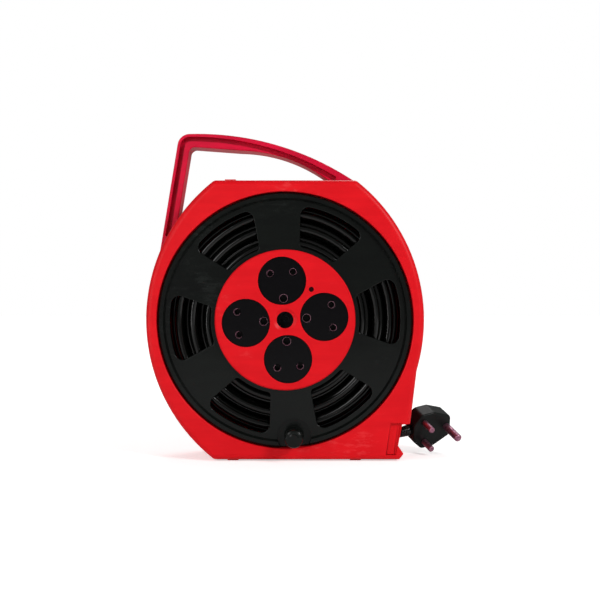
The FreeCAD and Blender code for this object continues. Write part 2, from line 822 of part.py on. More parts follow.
def pin_places():
    """Line, neutral and earth pin centres of the top socket, with hole and contact radii."""
    out, inward = D["socket_offset"] + D["pin_out"], D["socket_offset"] - D["earth_in"]
    live, earth = D["live_hole"], D["earth_hole"]
    return [(D["pin_across"], out, live), (-D["pin_across"], out, live), (as_size(0), inward, earth)]


def socket_insert(name, quarter):
    """One socket face: a stepped disc with three pin holes that open into wider contact chambers."""
    body = new_body(name)
    offset, face = D["socket_offset"], D["socket_face"]
    step = D["plate_front"] - D["sheet_thickness"]
    layer(body, D["socket_back"], step, lambda s: circle(s, 0, offset, D["socket_back_radius"]))
    layer(body, step, face, lambda s: circle(s, 0, offset, D["socket_radius"]))
    cut(body, face - 1, face, lambda s: circle(s, 0, offset, D["socket_radius"] - 1.4))
    for x, z, hole in pin_places():
        cut(body, D["socket_back"], face, lambda s: circle(s, x, z, hole))
        cut(body, D["socket_back"], D["sleeve_front"] + 0.2, lambda s: circle(s, x, z, hole + 0.7))
    level = face.value - 1
    radii = (D["live_hole"].value, D["earth_hole"].value)
    round_edges(
        body, "Chamfer", 0.5, lambda e: in_plane(e, level) and any(ring_edge(e, radius) for radius in radii)
    )
    round_edges(
        body, "Chamfer", 0.5, lambda e: in_plane(e, face.value) and ring_edge(e, D["socket_radius"].value)
    )
    to_axis(body, D["drum_angle"] + 90 * quarter)


def busbar(name, inner, outer, place, bore, tab):
    """A ring that joins four contact sleeves; tab gives the low and high z of the strip to a sleeve."""
    body = new_body(name)
    back = D["busbar_back"]
    front = back + D["busbar_thickness"]
    x, z = place

    def ring(sketch):
        circle(sketch, 0, 0, outer)
        circle(sketch, 0, 0, inner)

    layer(body, back, front, ring)
    repeated = []
    if tab is not None:
        repeated.append(layer(body, back, front, lambda s: rectangle(s, x - 3, tab[0], x + 3, tab[1])))
    repeated.append(layer(body, back, D["sleeve_front"], lambda s: circle(s, x, z, bore + D["sleeve_wall"])))
    repeated.append(cut(body, back, D["sleeve_front"], lambda s: circle(s, x, z, bore)))
    around(body, repeated, 4)
    to_axis(body, D["drum_angle"])
    return body


TERMINALS = {"line": (63.0, 210.0), "neutral": (44.8, 150.0), "earth": (22.0, 135.0)}


def terminal_place(name):
    radius, angle = TERMINALS[name]
    turn = math.radians(angle)
    return radius * math.cos(turn), radius * math.sin(turn)


def contacts():
    across, out = D["pin_across"], D["socket_offset"] + D["pin_out"]
    inward = D["socket_offset"] - D["earth_in"]
    bars = [
        busbar("line_busbar", 60, 66, (across, out), D["live_bore"], (out, out + 8)),
        busbar("neutral_busbar", 42, 47.5, (-across, out), D["live_bore"], (out - 9.5, out)),
        busbar("earth_busbar", 15, 30.5, (as_size(0), inward), D["earth_bore"], None),
    ]
    back, front = D["busbar_back"], D["busbar_back"] + D["busbar_thickness"]
    for bar, name in zip(bars, TERMINALS):
        x, z = terminal_place(name)
        cut(bar, back, front, lambda s: circle(s, x, z, 1.5))
    carrier_back = back - 3
    barrel = D["core_radius"] - D["sheet_thickness"]
    hub = D["hub_outer"]
    profile = [(hub, carrier_back), (barrel, carrier_back), (barrel, back), (hub, back)]
    carrier = turned("busbar_carrier", profile)
    for name in TERMINALS:
        x, z = terminal_place(name)
        cut(carrier, carrier_back, back, lambda s: circle(s, x, z, 1.5))
    for z in (-9.5, 9.5):
        cut(carrier, carrier_back, back, lambda s: circle(s, -50, z, 1.5))
    to_axis(carrier, D["drum_angle"])
    heads = []
    for name in TERMINALS:
        x, z = terminal_place(name)
        heads.append((x, carrier_back.value - 2.1, z))
    screws("terminal_screws", heads, (0, -1, 0), 3.0, 1.5, 6.9, D["drum_angle"])


def cable_entry():
    """The cable's inner end passes the barrel wall, is clamped on the carrier and splits into three leads."""
    lay = -LEAD_FRONT
    face = -(D["busbar_back"].value - 3)
    radius = D["cable_radius"].value
    tube("cable_inner_end", [Vector(-82, lay, 0), Vector(-40, lay, 0)], radius, D["drum_angle"])
    body = new_body("cord_clamp")
    low = LEAD_FRONT - radius
    layer(body, low - 4, D["busbar_back"] - 3, lambda s: rectangle(s, -54, -13.5, -46, 13.5))
    cut(body, low, D["busbar_back"] - 3, lambda s: rectangle(s, -54, -radius, -46, radius))
    for z in (-9.5, 9.5):
        cut(body, low - 4, D["busbar_back"] - 3, lambda s: circle(s, -50, z, 1.5))
    to_axis(body, D["drum_angle"])
    heads = [(-50.0, low - 6.1, z) for z in (-9.5, 9.5)]
    screws("clamp_screws", heads, (0, -1, 0), 3.0, 1.5, 15.0, D["drum_angle"])
    for name, start in (("line", -2.4), ("neutral", 2.4), ("earth", 0.0)):
        x, z = terminal_place(name)
        begin = Vector(-40.0, lay, start)
        end = Vector(x, face + 2.6, z)
        gap = end - begin
        across = Vector(gap.x, 0, gap.z).normalize()
        end = end - across * 4.2
        middle = (begin + end) / 2 + Vector(3, 4, 0)
        tube(name + "_lead", [begin, middle, end], 1.1, D["drum_angle"])


def thermal_cutout():
    """A push-reset breaker behind the plate, its button and the button's spring."""
    place = D["button_place"]
    radius = D["button_radius"]
    front = D["plate_front"] - D["sheet_thickness"]
    body = new_body("thermal_cutout")
    layer(body, 17, front, lambda s: circle(s, place, place, 5.2))
    cut(body, 29, front, lambda s: circle(s, place, place, radius + D["running_gap"]))
    to_axis(body, D["drum_angle"])
    button = new_body("reset_button")
    layer(button, 34, D["plate_front"] - 0.2, lambda s: circle(s, place, place, radius))
    round_edges(button, "Fillet", 0.6, lambda e: in_plane(e, D["plate_front"].value - 0.2))
    to_axis(button, D["drum_angle"])
    spring = new_body("button_spring")

    def coil(sketch):
        circle(sketch, place, place, 2.2)
        circle(sketch, place, place, 1.4)

    layer(spring, 29, 34, coil)
    to_axis(spring, D["drum_angle"])


# ---------------------------------------------------------------- knob


def winding_knob():
    """A grip that turns on a shoulder screw in the flange's dish, closed by a cap."""
    floor = D["flange_front"] - D["dish_depth"]
    front, radius = D["knob_front"], D["knob_radius"]
    pin = D["knob_pin_radius"]
    low = floor + 0.4
    seat = front - 7
    place = Vector(0, 0, -D["knob_offset"].value)
    knob = [(pin + D["running_gap"], low), (10.8, low), (10.8, low + 1.6), (9.6, low + 2.8), (8.2, low + 5)]
    knob += [(8.2, low + 8), (radius, low + 12), (radius, front - 2.5), (radius - 0.8, front - 0.8)]
    knob += [(radius - 2.5, front), (6, front), (6, seat), (pin + D["running_gap"], seat)]
    shank = [(0, floor - 2.5), (2, floor - 2.5), (2, floor), (pin, floor), (pin, seat + 0.3)]
    shank += [(5, seat + 0.3), (5, seat + 3), (0, seat + 3)]
    cap = [(0, front - 2), (6, front - 2), (6, front), (4.5, front + 0.4), (0, front + 0.4)]
    for name, profile in (("winding_knob", knob), ("knob_pin", shank), ("knob_cap", cap)):
        to_axis(turned(name, profile), D["drum_angle"], Placement(place, Rotation()))


# ---------------------------------------------------------------- cable and plug


def wound_cable():
    """The outer shape of the winding: four layers behind, a fifth on the front half and a sixth in front."""
    back, front = 0.5 - D["core_back"], D["coil_front"]
    fourth, fifth, top = D["coil_radius"], D["fifth_layer_radius"], D["top_layer_radius"]
    profile = [(D["core_radius"], back), (fourth, back), (fourth, D["fifth_layer_back"])]
    profile += [(fifth, D["fifth_layer_back"]), (fifth, D["top_layer_back"])]
    profile += [(top, D["top_layer_back"]), (top, front), (D["core_radius"], front)]
    to_axis(turned("wound_cable", profile), D["drum_angle"])


PLUG_CENTRE = Vector(163.5, 15.0, -124.0)
PIN_DIRECTION = Vector(0.385, -0.84, -0.385)
EARTH_DIRECTION = Vector(0.924, 0.332, 0.189)
RELIEF_LENGTH = 22.0
PLUG_END = 22.5


def plug_placement():
    """The plug is drawn with its pins along -Y and the earth pin on +X, then turned as it hangs there."""
    y_axis = PIN_DIRECTION.normalize() * -1
    x_axis = EARTH_DIRECTION - y_axis * EARTH_DIRECTION.dot(y_axis)
    return Placement(PLUG_CENTRE, Rotation(x_axis, y_axis, x_axis.cross(y_axis), "YXZ"))


def plug_outline(sketch):
    """A shield: broad and round where the cord enters, narrower round the earth pin."""
    corners = [(-PLUG_END, -10.5), (-12.0, -22.5), (4.0, -22.5), (26.0, -12.5)]
    corners += [(x, -z) for x, z in corners[::-1]]
    outline(sketch, corners)


def plug():
    face, split, back = D["plug_face"], D["plug_split"], D["plug_back"]
    placement = plug_placement()
    across, out, inward = D["pin_across"], D["pin_out"], D["earth_in"]
    body = new_body("plug_body")
    layer(body, -split, face, plug_outline)
    round_edges(body, "Fillet", 6, runs_along_y)
    round_edges(body, "Fillet", 2, lambda e: in_plane(e, face.value))
    cover = new_body("plug_cover")
    layer(cover, -back, -split, plug_outline)
    round_edges(cover, "Fillet", 7, runs_along_y)
    round_edges(cover, "Chamfer", 6, lambda e: in_plane(e, -back.value))
    cut(cover, -back, 3.0 - back, lambda s: circle(s, 6, 0, 3.2))
    cut(cover, -back, -split, lambda s: circle(s, 6, 0, 1.6))
    cut(body, -split, 5, lambda s: circle(s, 6, 0, 1.6))
    live = (D["live_stem_radius"], D["live_pin_radius"], D["live_pin_length"])
    earth = (D["earth_stem_radius"], D["earth_pin_radius"], D["earth_pin_length"])
    pins = [
        ("plug_line_pin", -out, -across, *live),
        ("plug_neutral_pin", -out, across, *live),
        ("plug_earth_pin", inward, as_size(0), *earth),
    ]
    for name, x, z, stem, radius, length in pins:
        cut(body, face - 6, face, lambda s: circle(s, x, z, stem))
        pin = new_body(name)
        layer(pin, face - 6, face + D["pin_root"], lambda s: circle(s, x, z, stem))
        layer(pin, face + D["pin_root"], face + length, lambda s: circle(s, x, z, radius))
        round_edges(pin, "Fillet", 1.4, lambda e: in_plane(e, (face + length).value))
        to_axis(pin, inner=placement)
    for piece in (body, cover):
        to_axis(piece, inner=placement)
    relief = doc.addObject("Part::Cone", "plug_strain_relief")
    relief.Label = "plug_strain_relief"
    relief.Radius1, relief.Radius2, relief.Height = 6.6, D["cable_radius"].value + 0.9, RELIEF_LENGTH
    mouth = Placement(Vector(-PLUG_END, 0, 0), Rotation(Vector(0, 0, 1), Vector(-1, 0, 0)))
    to_axis(relief, inner=placement.multiply(mouth))
    exported.append(relief)
    head = placement.multVec(Vector(6, back.value - 3.0, 0))
    direction = placement.Rotation.multVec(Vector(0, -1, 0))
    top = head + direction * -2.1
    screws("plug_screw", [(top.x, -top.y, top.z)], tuple(direction), 3.0, 1.6, 18.0)
    relief_end = placement.multVec(Vector(-PLUG_END - RELIEF_LENGTH, 0, 0))
    return relief_end, placement.Rotation.multVec(Vector(1, 0, 0))


def cable_tail(end, direction):
    """From the bottom of the winding, straight towards the outlet and into the plug's strain relief."""
    start = Vector(0, 0, -127.6)
    near = end - direction * 17
    points = [start, Vector(38, -4.0, start.z - 3.4), Vector(74, -8.5, near.z - 0.5), near, end]
    tube("cable_tail", points, D["cable_radius"].value)


# ---------------------------------------------------------------- build


def build():
    front_casing()
    rear_casing()
    outlet_guide()
    carry_handle()
    places = [(x, -13.2, z) for x, z in BOSS_PLACES]
    screws("casing_screws", places, (0, -1, 0), 4.0, 1.7, 31.0)
    front_flange()
    drum_core()
    rear_flange()
    hub_pieces()
    socket_plate()
    for quarter, name in enumerate(("top", "left", "bottom", "right")):
        socket_insert("socket_insert_" + name, quarter)
    contacts()
    cable_entry()
    thermal_cutout()
    winding_knob()
    wound_cable()
    cable_tail(*plug())


def check_and_write():
    doc.recompute()
    for item in doc.Objects:
        if "Invalid" in item.State or "Error" in item.State:
            raise RuntimeError(f"{item.Name} failed: {item.State}")
    os.makedirs("parts", exist_ok=True)
    for item in exported:
        shape = item.Shape
        if shape.isNull() or not shape.isValid() or not shape.Solids:
            raise RuntimeError(f"{item.Label} is not a valid solid")
        shape.exportStep(f"parts/{item.Label}.step")
    print(f"{len(exported)} sub-parts written")


build()
check_and_write()
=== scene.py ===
# %% [markdown]
# # An extension cord reel, dressed for its portrait
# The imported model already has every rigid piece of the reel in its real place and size.
# This lesson adds what a solid model can't show: the camera and the light, the wound cable,
# and a material for each piece that says what it is made of and how its surface was made.

import math

import bpy
import numpy as np
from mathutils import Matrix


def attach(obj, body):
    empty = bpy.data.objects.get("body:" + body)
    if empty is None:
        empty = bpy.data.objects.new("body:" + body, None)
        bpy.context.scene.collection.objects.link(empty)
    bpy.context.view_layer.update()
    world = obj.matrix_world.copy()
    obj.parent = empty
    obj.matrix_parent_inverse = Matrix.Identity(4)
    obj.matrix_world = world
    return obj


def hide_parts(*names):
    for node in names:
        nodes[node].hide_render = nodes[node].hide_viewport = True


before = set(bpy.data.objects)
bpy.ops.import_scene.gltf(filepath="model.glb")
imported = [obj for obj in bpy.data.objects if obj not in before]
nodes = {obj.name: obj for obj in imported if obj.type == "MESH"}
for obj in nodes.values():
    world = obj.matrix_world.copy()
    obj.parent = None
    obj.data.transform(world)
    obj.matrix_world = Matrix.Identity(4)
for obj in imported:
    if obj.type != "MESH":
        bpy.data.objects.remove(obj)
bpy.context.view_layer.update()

# %% [markdown]
# ## Two helpers that every finish uses
# Colours are picked as sRGB hex values, as a colour card gives them, but shaders count in linear
# light. One function turns a hex value to linear. A second one adds a shader node, sets it and
# wires it, so that a whole material reads as a short list.

# %% Colour and node helpers
def linear(hex_value):
    """An sRGB hex colour as linear RGBA: c becomes c/12.92, or ((c + 0.055)/1.055)^2.4 above 0.04045."""
    channels = np.array([int(hex_value[i:i + 2], 16) for i in (1, 3, 5)]) / 255
    bright = ((channels + 0.055) / 1.055) ** 2.4
    return (*np.where(channels > 0.04045, bright, channels / 12.92).tolist(), 1.0)


def add(tree, kind, inputs=None, **settings):
    """Adds one node: settings are its own options, inputs its sockets, each a value or an output to link."""
    node = tree.nodes.new(kind)
    for option, value in settings.items():
        setattr(node, option, value)
    for socket, value in (inputs or {}).items():
        if isinstance(value, bpy.types.NodeSocket):
            tree.links.new(value, node.inputs[socket])
        else:
            node.inputs[socket].default_value = value
    return node


def blank(name):
    """An empty node material: its tree, and the output node that a shader is linked to."""
    material = bpy.data.materials.new(name)
    material.use_nodes = True
    material.node_tree.nodes.clear()
    output = add(material.node_tree, "ShaderNodeOutputMaterial")
    return material, material.node_tree, output


CASING_RED = "#DF101B"
print("linear red of the casing:", [round(c, 3) for c in linear(CASING_RED)])

# %% [markdown]
# ## The camera
# The reel is seen square from the front, from about a metre away, so its rings stay round and the
# handle, which sits behind the front face, looks a little smaller than it is. The camera looks
# straight along +Y and stands level with a point above and to the right of the drum's axis.

# %% Camera
AXIS = np.array([0.0, 0.011, 0.156])
FRONT_FACE = -0.034
CAMERA_DISTANCE = 1.05
CAMERA_RIGHT = 0.0165
CAMERA_ABOVE = 0.022
camera_data = bpy.data.cameras.new("portrait_camera")
camera_data.sensor_width = 36.0
camera_data.lens = 57.2
camera = bpy.data.objects.new("portrait_camera", camera_data)
camera.location = (CAMERA_RIGHT, FRONT_FACE - CAMERA_DISTANCE, AXIS[2] + CAMERA_ABOVE)
camera.rotation_euler = (math.radians(90), 0, 0)
bpy.context.scene.collection.objects.link(camera)
bpy.context.scene.camera = camera
print("picture width at the front face:",
      round(CAMERA_DISTANCE * camera_data.sensor_width / camera_data.lens, 3), "m")

# %% [markdown]
# ## The cable on the drum
# About 25 m of round PVC cable is wound on the drum. Turned by hand through one outlet, it goes
# to and fro across the drum, and at each end it climbs to the next layer during one slow turn.
# A cable is one NURBS curve with a round bevel, so its control points can simply follow the path:
# the angle grows steadily, the place across the drum swings between two limits, and the radius
# grows by most of a diameter for each layer. Every second layer nests in the grooves of the one
# below it, so its first turn lies further back, and from the front only every second turn is lit.

# %% Sizes of the winding
CABLE = 0.0086
LAYER = 0.0080
FIRST_RADIUS = 0.082 + CABLE / 2
ENTRY = 0.0054
FRONT_END = 0.0285
REAR_END = -0.0317
NEST = 0.0135
POINTS_PER_TURN = 16
LAST_LAYER = 5.0
LEVEL = 0.0


def drum_place(angle, radius, front):
    """World points at an angle from +X towards +Z round the drum's axis, a radius and a distance forward."""
    x = radius * np.cos(angle)
    z = radius * np.sin(angle)
    return np.stack([AXIS[0] + x, AXIS[1] - front, AXIS[2] + z], axis=-1)


# %% The path of the winding
def winding_path():
    """Knots of (turn, radius step, place across), joined by straight lines and then sampled at even turns."""
    sweep = (FRONT_END - REAR_END) / CABLE
    half = (FRONT_END - ENTRY) / CABLE
    knots = [(0.0, 0.0, ENTRY), (half, 0.0, FRONT_END), (half + 1.0, 1.0, FRONT_END - NEST)]
    turn = half + 1.0
    for step in range(2):
        middle = turn + half
        low, high = 2 * step, 2 * step + 1
        knots += [(middle, high, ENTRY), (middle + 0.5, low, ENTRY - 0.5 * CABLE)]
        knots += [(turn + sweep, low, REAR_END), (turn + sweep + 1.0, low + 1.0, REAR_END)]
        turn += sweep + 1.0
        middle = turn + sweep - half
        knots += [(middle - 0.5, low + 1.0, ENTRY - 0.5 * CABLE), (middle, low + 2.0, ENTRY)]
        knots += [(turn + sweep, low + 2.0, FRONT_END), (turn + sweep + 1.0, low + 3.0, FRONT_END - NEST)]
        turn += sweep + 1.0
    knots += [(turn + FRONT_END / CABLE, LAST_LAYER, LEVEL)]
    return np.array(knots)


knots = winding_path()
turns = knots[-1, 0]
at = np.linspace(0.0, turns, int(round(turns * POINTS_PER_TURN)) + 1)
layer = np.interp(at, knots[:, 0], knots[:, 1])
across = np.interp(at, knots[:, 0], knots[:, 2])
angle = 2 * math.pi * (at - turns) - math.pi / 2
draw_in = (6 + 2 * math.cos(2 * math.pi / POINTS_PER_TURN)) / 8
radius = (FIRST_RADIUS + LAYER * layer) / draw_in
print("turns:", round(float(turns), 1), "points:", len(at), "length:",
      round(float(2 * math.pi * np.mean(radius * draw_in) * turns), 2))

# %% [markdown]
# A real winding isn't that even. The cable is stiff and the hand that guides it isn't steady, so
# each turn wanders by a millimetre or so. Smooth noise does that: a few sine waves whose lengths
# don't fit one turn, with phases from a seeded generator so that every run gives the same cable.

# %% Wander and build the winding
QUIET_TURNS = 0.6
RADIUS_WANDER = 0.0007
ACROSS_WANDER = 0.0011
draw = np.random.default_rng(7)


def wander(position, waves, height):
    """A sum of sines, each with its own length in turns and its own phase, that stays around height."""
    phases = draw.uniform(0, 2 * math.pi, len(waves))
    parts = [np.sin(2 * math.pi * position / w + p) for w, p in zip(waves, phases)]
    return height * np.sum(parts, axis=0) / len(waves) ** 0.5


quiet_ends = np.clip(np.minimum(at, turns - at) / QUIET_TURNS, 0, 1)
radius = radius + quiet_ends * wander(at, (0.83, 1.37, 2.9, 0.41), RADIUS_WANDER)
across = across + quiet_ends * wander(at, (0.71, 1.19, 2.3, 0.37), ACROSS_WANDER)
across = np.clip(across, REAR_END - 0.0003, FRONT_END + 0.0006)
path = drum_place(angle, radius, across)


def cord_curve(name, points, diameter, sides):
    """A NURBS curve of order 3 along control points. Bevel depth 1 times their radius is the cable's."""
    data = bpy.data.curves.new(name, "CURVE")
    data.dimensions = "3D"
    data.bevel_depth = 1.0
    data.bevel_resolution = sides
    data.resolution_u = 4
    data.use_fill_caps = True
    spline = data.splines.new("NURBS")
    spline.points.add(len(points) - 1)
    weights = np.concatenate([points, np.ones((len(points), 1))], axis=1)
    spline.points.foreach_set("co", weights.ravel())
    spline.points.foreach_set("radius", np.full(len(points), diameter / 2))
    spline.order_u = 3
    spline.use_endpoint_u = True
    curve = bpy.data.objects.new(name, data)
    bpy.context.scene.collection.objects.link(curve)
    return curve


def line_of(curve):
    """The points of the curve's own line, read from a copy that has no bevel."""
    bare = curve.copy()
    bare.data = curve.data.copy()
    bare.data.bevel_depth = 0.0
    mesh = bpy.data.meshes.new_from_object(bare)
    points = np.empty(len(mesh.vertices) * 3)
    mesh.vertices.foreach_get("co", points)
    bpy.data.meshes.remove(mesh)
    bpy.data.objects.remove(bare)
    return points.reshape(-1, 3)


def length_of(points):
    """The sum of the distances between neighbouring points."""
    return float(np.linalg.norm(np.diff(points, axis=0), axis=1).sum())


winding = cord_curve("winding_cable", path, CABLE, 3)
winding_length = length_of(line_of(winding))
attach(winding, "drum")
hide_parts("wound_cable")
print("winding:", round(winding_length, 2), "m in", round(float(turns), 1), "turns")

# %% [markdown]
# ## The cable's tail and its plug
# Below the drum the cable runs to the outlet at the lower right corner and into the plug, which
# sits close beside the outlet, so none of it is loose. Its route is five points, and the curve's own
# smoothness makes the bends. The strain relief is a tapered sleeve with grooves that let it bend;
# it is a profile turned round its own axis.

# %% The tail
PLUG_CENTRE = np.array([0.1635, 0.0260, 0.0320])
pins = np.array([0.385, -0.84, -0.385])
pins = pins / np.linalg.norm(pins)
entry = np.array([0.924, 0.332, 0.189])
entry = entry - pins * entry.dot(pins)
entry = entry / np.linalg.norm(entry)
RELIEF_START = 0.0225
RELIEF_LENGTH = 0.022
STRAIGHT_END = 0.017
WINDING_UNDERSIDE = 0.1276
tail_end = PLUG_CENTRE - entry * (RELIEF_START + RELIEF_LENGTH)
near_end = tail_end - entry * STRAIGHT_END
start = AXIS + np.array([0.0, 0.0, -WINDING_UNDERSIDE])
route = np.array([start, start + (0.038, -0.004, -0.0034), (0.074, AXIS[1] - 0.0085, near_end[2] - 0.0005),
                  near_end, tail_end])
tail = cord_curve("tail_cable", route, CABLE, 3)
tail_length = length_of(line_of(tail))
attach(tail, "casing")
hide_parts("cable_tail")
print("tail:", round(tail_length, 4), "m, ends at", tail_end.round(4))

# %% [markdown]
# The sleeve is a grid: one side of it runs along the cable, the other round it. Its radius falls
# evenly from the plug to the cable and dips at each groove, and its two end rings close on the axis.

# %% Strain relief
SLEEVE_RADIUS = 0.0066
SLEEVE_WALL = 0.0009
GROOVE_PITCH = 0.0030
GROOVE_DEPTH = 0.0008


def mesh_piece(name, points, faces, smooth=True):
    """A mesh object at the origin from an array of points and a list of faces."""
    data = bpy.data.meshes.new(name)
    data.from_pydata(points.tolist(), [], [list(f) for f in faces])
    data.update()
    data.polygons.foreach_set("use_smooth", np.full(len(data.polygons), smooth))
    piece = bpy.data.objects.new(name, data)
    bpy.context.scene.collection.objects.link(piece)
    return piece


def turned_sleeve(name, base, along, lengths, radii, sides):
    """Rings: base + length*along + radius*(cos t * side + sin t * other), closed by a point at each end."""
    side = np.cross(along, (0.0, 0.0, 1.0))
    side = side / np.linalg.norm(side)
    other = np.cross(along, side)
    t = 2 * math.pi * np.arange(sides) / sides
    ring = np.cos(t)[:, None] * side + np.sin(t)[:, None] * other
    rings = base + lengths[:, None, None] * along + radii[:, None, None] * ring
    points = np.concatenate([rings.reshape(-1, 3), [base + lengths[0] * along, base + lengths[-1] * along]])
    row = np.arange(len(lengths) - 1)[:, None] * sides
    here, after = np.arange(sides), (np.arange(sides) + 1) % sides
    quads = np.stack([row + here, row + sides + here, row + sides + after, row + after],
                     axis=-1).reshape(-1, 4)
    first, last, top = len(points) - 2, len(points) - 1, (len(lengths) - 1) * sides
    caps = [(first, a, b) for a, b in zip(here, after)]
    caps += [(last, top + b, top + a) for a, b in zip(here, after)]
    return mesh_piece(name, points, quads.tolist() + caps)


steps = np.linspace(0.0, RELIEF_LENGTH, 89)
taper = np.interp(steps, (0.0, RELIEF_LENGTH), (SLEEVE_RADIUS, CABLE / 2 + SLEEVE_WALL))
grooves = np.clip(np.cos(2 * math.pi * (steps - 0.004) / GROOVE_PITCH), 0, 1) ** 0.7
grooves[(steps < 0.0045) | (steps > RELIEF_LENGTH - 0.0025)] = 0
taper = taper - GROOVE_DEPTH * grooves
relief = turned_sleeve("ribbed_sleeve", PLUG_CENTRE - entry * RELIEF_START, -entry, steps, taper, 40)
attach(relief, "casing")
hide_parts("plug_strain_relief")
print("sleeve:", len(relief.data.polygons), "faces")

# %% [markdown]
# ## Floor and light
# A plain white floor and a white surround, as on a studio table. The whiteness is for the camera
# alone: the world that lights the reel is a soft grey, so its colours stay as written, and the
# floor only gets the little glow that it needs to reach white, which keeps the reel's shadow.
# That glow grows with the distance from the reel, so that no grey horizon shows far away.
# One large lamp stands up and to the right, a wider and weaker one at the left, and a third
# above and behind draws the top edges. A narrow upright strip at the left draws thin bright
# lines along the turns of the cable, as a window frame does.

# %% World and floor
scene = bpy.context.scene
scene.view_settings.view_transform = "Standard"
world = bpy.data.worlds.new("white_surround")
world.use_nodes = True
world.node_tree.nodes.clear()
tree = world.node_tree
rays = add(tree, "ShaderNodeLightPath")
strength = add(tree, "ShaderNodeMix", {"Factor": rays.outputs["Is Camera Ray"], "A": 0.26, "B": 1.0},
               data_type="FLOAT")
background = add(tree, "ShaderNodeBackground",
                 {"Color": (1.0, 1.0, 1.0, 1.0), "Strength": strength.outputs["Result"]})
add(tree, "ShaderNodeOutputWorld", {"Surface": background.outputs["Background"]})
scene.world = world

material, tree, output = blank("painted_studio_floor")
rays = add(tree, "ShaderNodeLightPath")
place = add(tree, "ShaderNodeTexCoord")
away = add(tree, "ShaderNodeVectorMath", {0: place.outputs["Object"]}, operation="LENGTH")
far = add(tree, "ShaderNodeMapRange", {"Value": away.outputs["Value"], "From Min": 0.5, "From Max": 2.6,
                                       "To Min": 0.52, "To Max": 0.96})
spots = add(tree, "ShaderNodeTexNoise", {"Scale": 3.0, "Detail": 2.0})
tone = add(tree, "ShaderNodeMix", {"Factor": spots.outputs["Fac"], "A": linear("#F4F4F3"),
                                   "B": linear("#FAFAFA")}, data_type="RGBA")
paint = add(tree, "ShaderNodeBsdfPrincipled", {"Base Color": tone.outputs["Result"], "Roughness": 0.75,
                                               "Emission Color": (1.0, 1.0, 1.0, 1.0)})
glow = add(tree, "ShaderNodeMath", {0: rays.outputs["Is Camera Ray"], 1: far.outputs["Result"]},
           operation="MULTIPLY")
tree.links.new(glow.outputs["Value"], paint.inputs["Emission Strength"])
tree.links.new(paint.outputs["BSDF"], output.inputs["Surface"])
floor = mesh_piece("floor", np.array([(-9, -9, 0), (9, -9, 0), (9, 9, 0), (-9, 9, 0)], float),
                   [(0, 1, 2, 3)])
floor.data.materials.append(material)
print("world and floor set")


# %% Lamps
def lamp(name, place, target, width, height, power):
    """An area lamp of that width, height and power, turned so that it looks at the target."""
    data = bpy.data.lights.new(name, "AREA")
    data.shape = "RECTANGLE"
    data.size = width
    data.size_y = height
    data.energy = power
    light = bpy.data.objects.new(name, data)
    light.location = place
    toward = np.array(target) - np.array(place)
    light.rotation_euler = (math.atan2(math.hypot(toward[0], toward[1]), -toward[2]), 0,
                            math.atan2(toward[0], -toward[1]) + math.pi)
    scene.collection.objects.link(light)
    return light


lamp("key", (1.35, -1.25, 1.15), (0, 0, 0.16), 0.55, 0.55, 22)
lamp("fill", (-1.0, -1.9, 0.85), (0, 0, 0.16), 0.9, 0.9, 10)
lamp("top", (0.2, 1.3, 1.5), (0, 0, 0.16), 1.0, 1.0, 10)
lamp("left_strip", (-1.1, -0.75, 0.35), (0, 0, 0.16), 0.07, 0.8, 3.0)

# %% [markdown]
# ## Moulded polypropylene
# The casing, the handle, the drum's flanges and the knob are injection-moulded polypropylene. The
# steel mould was spark-eroded, which leaves a fine even grain on the plastic, so it shines softly.
# On top of that a moulding has shallow sink waves where it cooled over its ribs, faint streaks
# along the flow, and, after some years in a workshop, small scuffs that are paler and duller.
# The grain is really about 0.1 mm. It is drawn at 0.5 mm, because a finer one would not show.

# %% Finish: moulded polypropylene
GRAIN_MM = 0.5
WAVE_MM = 45.0
FLOW_MM = 14.0
SCUFF_MM = 9.0
PATCH_MM = 60.0


def per_metre(millimetres):
    """Noise counts features per unit of length: a feature of so many millimetres has this scale in metres."""
    return 1000.0 / millimetres


